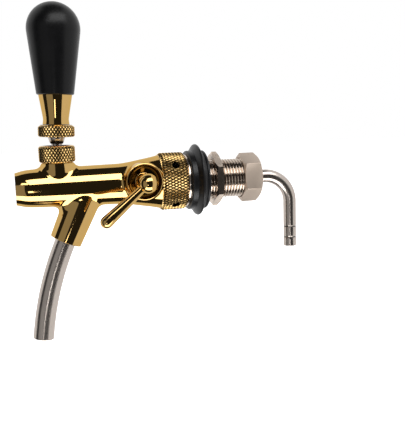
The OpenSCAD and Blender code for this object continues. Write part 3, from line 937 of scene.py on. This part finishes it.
class TAP_OT_lever(bpy.types.Operator):
    """Make the stainless lever: finger, ball, neck, cup collar and stud"""
    bl_idname = "tap.lever"
    bl_label = "Lever"

    def execute(self, context):
        tip_r = 2.4
        finger = arc((-BALL_Z, 0), tip_r, 180, 40, 10)
        ball = arc((0, 0), 5.6, 156, 33, 24)
        top = [(4.9, NECK_R), (7.0, NECK_R), (NECK_TOP, NECK_R), (NECK_TOP + 0.1, 3.35),
               (NECK_TOP + 0.4, 3.6), (NECK_TOP + 1.2, 4.05), (10.7, 4.7), (10.95, 4.75),
               (11.1, 4.6), (11.1, 3.9), (24.0, 3.9), (24.0, 0)]
        points = [(-BALL_Z - tip_r, 0), *finger[1:], (-14.6, 1.5), (-7, 1.5), (-5.6, 2.2),
                  *ball[:-1], *top]
        lever = lathe("lever", points, ON_HANDLE, steps=72)
        finished(lever, "lever", "handle", "stainless", "drawn_steel", "tap_lever")
        return {"FINISHED"}


def bend_points(obj, start, radius, angle):
    """Bend a straight turned tube, still along Z, towards -X from a place in mm."""
    co = points_of(obj.data) / MM
    x, run = co[:, 0].copy(), co[:, 2] - start
    turn = np.clip(run / radius, 0, math.radians(angle))
    rest = run - radius * turn
    co[:, 0] = -radius + (radius + x) * np.cos(turn) - rest * np.sin(turn)
    co[:, 2] = start + (radius + x) * np.sin(turn) + rest * np.cos(turn)
    move_points(obj.data, co * MM)


def tube_wall(start, end, radius, bore, step, dents=()):
    """Profile of a straight tube with eased ends and shallow ring grooves, in mm."""
    outer = [(start, radius - 0.12), (start + 0.12, radius)]
    marks = [(g + d, radius - (0.22 if abs(d) < 0.2 else 0)) for g in dents
             for d in (-0.45, -0.15, 0.15, 0.45)]
    plain = [(s, radius) for s in rows(start + 0.4, end - 0.4, step)
             if all(abs(s - g) > 0.7 for g in dents)]
    outer += sorted(plain + marks) + [(end - 0.12, radius), (end, radius - 0.12)]
    inner = [(s, bore) for s in reversed(rows(start + 0.1, end - 0.1, step))]
    return outer + [(end, bore + 0.1)] + inner + [(start, bore + 0.1)]


class TAP_OT_spout(bpy.types.Operator):
    """Make the bent spout tube"""
    bl_idname = "tap.spout"
    bl_label = "Spout"

    def execute(self, context):
        bend, angle, tip = 180, 17, 5
        start = SPOUT_BOSS_LEN - 13.5
        end = SPOUT_BOSS_LEN + bend * math.radians(angle) + tip
        tube = lathe("spout", tube_wall(start, end, 5.9, 5.0, 2.0), AT_ORIGIN, steps=72,
                     closed=True)
        bend_points(tube, SPOUT_BOSS_LEN, bend, angle)
        place(tube, ON_SPOUT)
        finished(tube, "spout", "tap", "stainless", "drawn_steel", "spout_tube", angle=50)
        return {"FINISHED"}


class TAP_OT_flow_lever(bpy.types.Operator):
    """Make the flow lever: the spindle with its ball and pin, and the tapered rod"""
    bl_idname = "tap.flow_lever"
    bl_label = "Flow lever"

    def execute(self, context):
        y = FLOW_BALL_Y
        ball = arc((y, 0), FLOW_BALL_R, 180, 30, 24)
        shaft = [(-21.0, 2.62), (-18.4, 2.62), (-18.0, 3.1), (-17.8, 3.4), (-11.3, 3.4),
                 (-11.3, 4.6), (-9.6, 4.6), (-9.6, 0)]
        spindle = lathe("spindle", [(y - FLOW_BALL_R, 0), *ball[1:], *shaft], ON_FLOW, steps=72)
        pin_frame = Matrix.Translation((0, 0, 2.5 * MM)) @ ON_FLOW
        pin = lathe("pin", [(-10, 0), (-10, 1.5), (1.7, 1.5), (2.0, 1.2), (2.0, 0)], pin_frame,
                    steps=24)
        joined(spindle, pin)
        finished(spindle, "spindle", "flow_lever", "gold_plate", "polished_gold", "flow_spindle")
        tip = arc((30.85, 0), 3.45, 80, 0, 12)
        rod = lathe("flow_rod", [(4.7, 0), (4.7, 2.3), (6.2, 2.32), (12, 2.62), (18, 2.92),
                                 (24, 3.2), (30.6, 3.5), *tip[:-1], (34.3, 0)],
                    ON_ROD, steps=64)
        finished(rod, "flow_rod", "flow_lever", "gold_plate", "polished_gold",
                 "flow_lever_rod", angle=40)
        return {"FINISHED"}


class TAP_OT_gland(bpy.types.Operator):
    """Make the gland that seals the flow lever's spindle"""
    bl_idname = "tap.gland"
    bl_label = "Gland"

    def execute(self, context):
        points = eased([(-13.8, 3.46), (-13.8, 4.8), (-13.2, 5.58), (-11.4, 5.58), (-11.4, 3.46)],
                       0.15)
        gland = lathe("gland", points, ON_FLOW, closed=True)
        finished(gland, "gland", "tap", "gold_plate", "polished_gold", "flow_gland")
        return {"FINISHED"}


def darken_hole(obj, hole):
    """Mark the wall of a spanner hole for painted shade, like the knurl's grooves."""
    x, y, z = carried(points_of(obj.data), hole.inverted()).T / MM
    values = read(obj.data.attributes["groove"].data, "value", 1, np.float32)
    values[(np.hypot(x, y) < SPANNER_R + 0.05) & (z > SPANNER_DEPTH)] = 1
    mark_grooves(obj, values)


class TAP_OT_coupling_ring(bpy.types.Operator):
    """Make the knurled coupling ring with its four spanner holes"""
    bl_idname = "tap.coupling_ring"
    bl_label = "Coupling ring"

    def execute(self, context):
        a, b = RING_FRONT, RING_BACK
        shape = [(a + 0.15, 15.8), (-26.4, RING_R), (-13.5, RING_R), (b - 0.1, 15.5)]
        ring = knurled("coupling_ring", shape, [(a, 12.5), (a, 15.6)],
                       [(b, 15.3), (b, 13.56), (-24.8, 13.56), (-24.8, 12.5)], ALONG_X, 14.8, "ring")
        for quarter in range(4):
            turn = math.radians(SPANNER_TURN - 90 * quarter)
            hole = Matrix.Rotation(turn, 4, "X") @ Matrix.Translation((SPANNER_X * MM, 0, 0))
            drill = [(10, 0), (10, SPANNER_R), (20, SPANNER_R), (20, 0)]
            boolean(ring, lathe("spanner_hole", drill, hole, steps=32))
            darken_hole(ring, hole)
        finished(ring, "coupling_ring", "coupling_ring", "gold_plate", "knurled_gold",
                 "coupling_ring", angle=25)
        return {"FINISHED"}


class TAP_OT_collar(bpy.types.Operator):
    """Make the wall collar and the rubber washer behind it"""
    bl_idname = "tap.collar"
    bl_label = "Wall collar and washer"

    def execute(self, context):
        a, bore = COLLAR_FRONT, COLLAR_BORE
        points = eased([(a, bore), (a, 16.8), (a + 0.6, 17.4), (-7.4, 17.4), (-6.0, 20.1),
                        (-5.4, 20.9), (-4.75, 21.15), (-4.1, 20.8), (-3.3, 17.5), (-1.95, 17.2),
                        (-1.7, 16.7), (-1.7, bore)], 0.35, 4)
        collar = lathe("wall_collar", points, ALONG_X, steps=128, closed=True)
        finished(collar, "wall_collar", "tap", "black_collar", "collar_plastic",
                 "rosette_collar")
        points = [(-1.7, bore), (-1.7, 16.8), (-1.5, 17.1), (-1.1, 17.27), (-0.7, 17.3),
                  (-0.35, 17.2), (-0.1, 17.0), (0, 16.7), (0, bore)]
        washer = lathe("washer", points, ALONG_X, steps=128, closed=True)
        finished(washer, "washer", "tap", "rubber", "black_rubber", "wall_washer")
        return {"FINISHED"}


def press_thread(obj, low, high):
    """Press a right-hand pipe thread into the shank; it fades at both ends."""
    pitch, depth = knurls().thread_pitch / MM, knurls().thread_depth / MM
    co = points_of(obj.data)
    x, y, z = co.T / MM
    r = np.hypot(y, z)
    phase = x / pitch - np.arctan2(z, y) / math.tau
    wave = np.abs(phase - np.round(phase)) * 2
    press = np.clip((0.78 - wave) / 0.6, 0, 1)
    fade = np.clip(np.minimum(x - low, high - x) / 0.5, 0, 1)
    press = np.where((r > THREAD_R - 0.02) & (x > low) & (x < high), press * fade, 0)
    co[:, 1:] *= pressed(r, press * depth)[:, None]
    move_points(obj.data, co)
    # The thread's grooves are marked for painted shade
    mark_grooves(obj, press)


class TAP_OT_shank(bpy.types.Operator):
    """Make the shank with its flange and pipe thread"""
    bl_idname = "tap.shank"
    bl_label = "Shank"

    def execute(self, context):
        a, end, low, high = SHANK_FRONT, SHANK_END, -1.0, SHANK_END - 0.4
        step = knurls().thread_pitch / MM / 10
        points = [(a, 8.4), (a, 13.0), (a + 0.5, 13.5), (-12.5, 13.5), (-12.5, 15.1), (-12.3, 15.35),
                  (-11.1, 15.4), (-10.9, 15.2), (-10.9, THREAD_R), (low, THREAD_R),
                  *band(low + 0.01, high, THREAD_R, step)[1:], (end, THREAD_R - 0.8), (end, 3.5),
                  (-4.0, 3.5)]
        shank = lathe("shank", points, ALONG_X, steps=96, closed=True)
        press_thread(shank, low, high)
        finished(shank, "shank", "tap", "nickel_plate", "bright_nickel", "shank",
                 angle=50)
        return {"FINISHED"}


def hex_nut(name, ends, corner_r, chamfer, bores, turn=0):
    """A hexagon with corners up and down, chamfered by a turned shape, bored and eased."""
    nothing_selected()
    front, back = ends
    bpy.ops.mesh.primitive_cylinder_add(vertices=6, radius=corner_r * MM,
                                        depth=(back - front) * MM, location=(0, 0, 0))
    nut = bpy.context.object
    place(nut, Matrix.Translation(((front + back) / 2 * MM, 0, 0)) @ ALONG_X
          @ Matrix.Rotation(math.radians(90), 4, "Z"))
    place(nut, Matrix.Rotation(math.radians(turn), 4, "X"))
    less = corner_r - 2 * chamfer
    rim = [(front, 0), (front, less), (front + chamfer, corner_r + 0.02),
           (back - chamfer, corner_r + 0.02), (back, less), (back, 0)]
    boolean(nut, lathe("chamfer", rim, ALONG_X, steps=120), "INTERSECT")
    bevelled(nut, 0.25, 25)
    boolean(nut, lathe("bore", bores, ALONG_X, steps=96))
    nut.name = name
    return nut


class TAP_OT_nuts(bpy.types.Operator):
    """Make the lock nut and the tube nut"""
    bl_idname = "tap.nuts"
    bl_label = "Nuts"

    def execute(self, context):
        front, back = LOCK_NUT
        bore, mouth = THREAD_R + 0.06, THREAD_R + 0.7
        nut = hex_nut("lock_nut", LOCK_NUT, LOCK_NUT_R, 0.9,
                      [(front - 1, 0), (front - 1, mouth), (front, mouth), (front + 0.6, bore),
                       (back - 0.6, bore), (back, mouth), (back + 1, mouth), (back + 1, 0)])
        finished(nut, "lock_nut", "lock_nut", "nickel_plate", "shiny_nickel",
                 "shank_lock_nut", angle=20)
        front, back = TUBE_NUT
        nut = hex_nut("tube_nut", TUBE_NUT, TUBE_NUT_R, 1.1,
                      [(front - 1, 0), (front - 1, mouth), (front, mouth), (front + 0.6, bore),
                       (29.7, bore), (29.7, 4.06), (back - 0.2, 4.06), (back, 4.3),
                       (back + 1, 4.3), (back + 1, 0)], turn=-TUBE_NUT_TURN)
        finished(nut, "tube_nut", "tube_nut", "nickel_plate", "satin_nickel",
                 "tube_nut", angle=20)
        return {"FINISHED"}


class TAP_OT_hose_tube(bpy.types.Operator):
    """Make the bent hose tube with its flange and its two shallow grooves"""
    bl_idname = "tap.hose_tube"
    bl_label = "Hose tube"

    def execute(self, context):
        bend = 16.6
        knee = TUBE_LEG_X - bend
        turned_down = knee + bend * math.pi / 2
        dents = [turned_down - z - bend for z in TUBE_MARKS_Z]
        end = turned_down - TUBE_END_Z - bend
        tube = lathe("hose_tube", tube_wall(TUBE_START, end, TUBE_R, 3.0, 0.8, dents), AT_ORIGIN,
                     steps=64, closed=True)
        x, y, z = points_of(tube.data).T / MM
        marked = (np.min([np.abs(z - d) for d in dents], axis=0) < 0.3) & (np.hypot(x, y) > 3.5)
        # The two ring grooves are marked for painted shade
        mark_grooves(tube, marked)
        bend_points(tube, knee, bend, 90)
        place(tube, ALONG_X @ Matrix.Rotation(math.pi, 4, "Z"))
        a = TUBE_START
        flange = lathe("flange", eased([(a, 3.9), (a, 9.0), (a + 1.1, 9.0), (a + 1.1, 3.9)], 0.2),
                       ALONG_X, closed=True)
        joined(tube, flange)
        finished(tube, "hose_tube", "hose_tube", "stainless", "drawn_steel",
                 "bent_tube", angle=50)
        return {"FINISHED"}


INNER = {
    "turned_brass": ("knob_insert",),
    "drawn_steel": ("knob_stud", "plunger", "valve_nut", "coupling_snap_ring"),
    "black_rubber": ("spout_o_ring", "lever_o_ring", "plunger_o_rings", "valve_seal",
                     "flow_o_ring", "coupling_gasket", "tube_gasket"),
    "machined_seat": ("ball_seat_upper", "ball_seat_lower", "compensator_cone"),
}


class TAP_OT_inner_pieces(bpy.types.Operator):
    """Give the inner pieces their finishes"""
    bl_idname = "tap.inner_pieces"
    bl_label = "Inner pieces"

    def execute(self, context):
        for name, nodes in INNER.items():
            for node in nodes:
                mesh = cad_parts[node]
                if not mesh.material_slots:
                    mesh.data.materials.append(material(name))
                for slot in mesh.material_slots:
                    slot.material = material(name)
        return {"FINISHED"}


# ---------------------------------------------------------------- stage

CARD_TARGET, CARD_FAR = Vector((-0.06, 0, 0)), 0.9


def direction(turn, height):
    """Unit vector: turn from the camera's side (-Y) towards +X, height over the horizon."""
    a, e = math.radians(turn), math.radians(height)
    return Vector((math.sin(a) * math.cos(e), -math.cos(a) * math.cos(e), math.sin(e)))


def plane(name, size, where=(0, 0, 0)):
    nothing_selected()
    bpy.ops.mesh.primitive_plane_add(size=size, location=where)
    piece = bpy.context.object
    piece.name = piece.data.name = name
    return piece


def glowing(piece, power):
    """A plain glow for a card or a wall, which the camera doesn't see."""
    glow = bpy.data.materials.new(piece.name)
    glow.use_nodes = True
    tree = glow.node_tree
    tree.nodes.clear()
    light, leave = tree.nodes.new("ShaderNodeEmission"), tree.nodes.new("ShaderNodeOutputMaterial")
    light.inputs["Strength"].default_value = power
    tree.links.new(light.outputs[0], leave.inputs[0])
    piece.data.materials.append(glow)
    piece.visible_camera = False


def card(name, turn, height, width, tall, power):
    """A glowing card that faces the tap."""
    piece = plane(name, 1)
    aim = direction(turn, height)
    look = (-aim).to_track_quat("Z", "Y").to_matrix().to_4x4()
    shape = Matrix.Diagonal((width, tall, 1, 1))
    place(piece, Matrix.Translation(CARD_TARGET + aim * CARD_FAR) @ look @ shape)
    glowing(piece, power)


def wall(name, corners, power):
    """A glowing flat wall with four corners in metres."""
    piece = plane(name, 1)
    for vertex, corner in zip((0, 1, 3, 2), corners):
        piece.data.vertices[vertex].co = corner
    glowing(piece, power)


class TAP_OT_stage(bpy.types.Operator):
    """Set the camera, the white tent, the two softboxes and the floor"""
    bl_idname = "tap.stage"
    bl_label = "Stage"

    def execute(self, context):
        s = studio()
        self.camera(s)
        self.lights(s)
        self.floor(s)
        self.backdrop()
        return {"FINISHED"}

    def camera(self, s):
        nothing_selected()
        bpy.ops.object.camera_add()
        camera = bpy.context.object
        camera.data.lens, camera.data.sensor_width = s.lens, 36
        camera.data.clip_start = 0.01
        camera.matrix_world = (Matrix.Translation(Vector(s.view_place))
                               @ Matrix.Rotation(-s.view_turn, 4, "Z")
                               @ Matrix.Rotation(math.radians(90) + s.view_tilt, 4, "X")
                               @ Matrix.Rotation(s.view_roll, 4, "Z"))
        bpy.context.scene.camera = camera

    def lights(self, s):
        w = s.wall_power
        tall, back, side, near = 2.0, 0.9, 1.0, -1.1
        wall("tent_back", [(-side, back, -tall), (side, back, -tall), (side, back, tall),
                           (-side, back, tall)], w)
        wall("tent_right", [(side, near, -tall), (side, near, tall), (side, back, tall),
                            (side, back, -tall)], w)
        wall("tent_left", [(-side, back, -tall), (-side, back, tall), (-side, 0.12, tall),
                           (-side, 0.12, -tall)], w)
        card("key_high", 20, 48, 0.95, 0.52, s.key_power)
        card("key_low", 0, -60, 1.1, 0.54, s.key_power)
        card("strip", -11, -15, 0.10, 0.14, s.key_power)
        card("key_left", -25, 34, 0.26, 0.16, s.key_power * 0.8)
        card("left_fill", -45, -5, 0.75, 1.2, w * 0.4)

    def floor(self, s):
        floor = plane("floor", 6, (0, 0, s.floor_z))
        pale = bpy.data.materials.new("pale_floor")
        pale.use_nodes = True
        shader = pale.node_tree.nodes["Principled BSDF"]
        shader.inputs["Base Color"].default_value = (0.9, 0.9, 0.9, 1)
        shader.inputs["Roughness"].default_value = 0.9
        shader.inputs["Emission Color"].default_value = (1, 1, 1, 1)
        shader.inputs["Emission Strength"].default_value = 1.0
        floor.data.materials.append(pale)
        floor.visible_glossy = floor.visible_diffuse = floor.visible_shadow = False

    def backdrop(self):
        world = bpy.data.worlds.new("studio")
        bpy.context.scene.world = world
        world.use_nodes = True
        tree = world.node_tree
        tree.nodes.clear()
        seen = tree.nodes.new("ShaderNodeLightPath").outputs["Is Camera Ray"]
        white, dim = tree.nodes.new("ShaderNodeBackground"), tree.nodes.new("ShaderNodeBackground")
        dim.inputs["Strength"].default_value = 0.03
        white.inputs["Color"].default_value = (1, 1, 1, 1)
        pick, leave = tree.nodes.new("ShaderNodeMixShader"), tree.nodes.new("ShaderNodeOutputWorld")
        tree.links.new(seen, pick.inputs[0])
        tree.links.new(dim.outputs[0], pick.inputs[1])
        tree.links.new(white.outputs[0], pick.inputs[2])
        tree.links.new(pick.outputs[0], leave.inputs[0])
        bpy.context.scene.view_settings.view_transform = "Standard"


class TAP_PT_panel(bpy.types.Panel):
    bl_idname = "TAP_PT_panel"
    bl_label = "Beer tap"
    bl_space_type = "VIEW_3D"
    bl_region_type = "UI"
    bl_category = "Beer tap"

    def draw(self, context):
        for operator in OPERATORS:
            self.layout.operator(operator.bl_idname)
        for holder in (sizes(), knurls(), colours(), studio()):
            for name in holder.__annotations__:
                self.layout.prop(holder, name)


OPERATORS = (TAP_OT_barrel, TAP_OT_knob, TAP_OT_ferrule, TAP_OT_handle_nut, TAP_OT_bonnet,
             TAP_OT_lever, TAP_OT_spout, TAP_OT_flow_lever, TAP_OT_gland, TAP_OT_coupling_ring,
             TAP_OT_collar, TAP_OT_shank, TAP_OT_nuts, TAP_OT_hose_tube, TAP_OT_inner_pieces,
             TAP_OT_stage)
GROUPS = {"tap_sizes": TapSizes, "tap_knurls": KnurlSizes, "tap_colours": FinishColours,
          "tap_studio": StudioSettings}


def register():
    for cls in (*GROUPS.values(), *OPERATORS, TAP_PT_panel):
        bpy.utils.register_class(cls)
    for name, cls in GROUPS.items():
        setattr(bpy.types.Scene, name, bpy.props.PointerProperty(type=cls))


def unregister():
    for name in GROUPS:
        delattr(bpy.types.Scene, name)
    for cls in reversed((*GROUPS.values(), *OPERATORS, TAP_PT_panel)):
        bpy.utils.unregister_class(cls)


def main():
    register()
    for operator in OPERATORS:
        call = getattr(bpy.ops.tap, operator.bl_idname.split(".")[1])
        if call() != {"FINISHED"}:
            raise RuntimeError(f"{operator.bl_label} did not finish")
    nothing_selected()


if __name__ == "__main__":
    main()
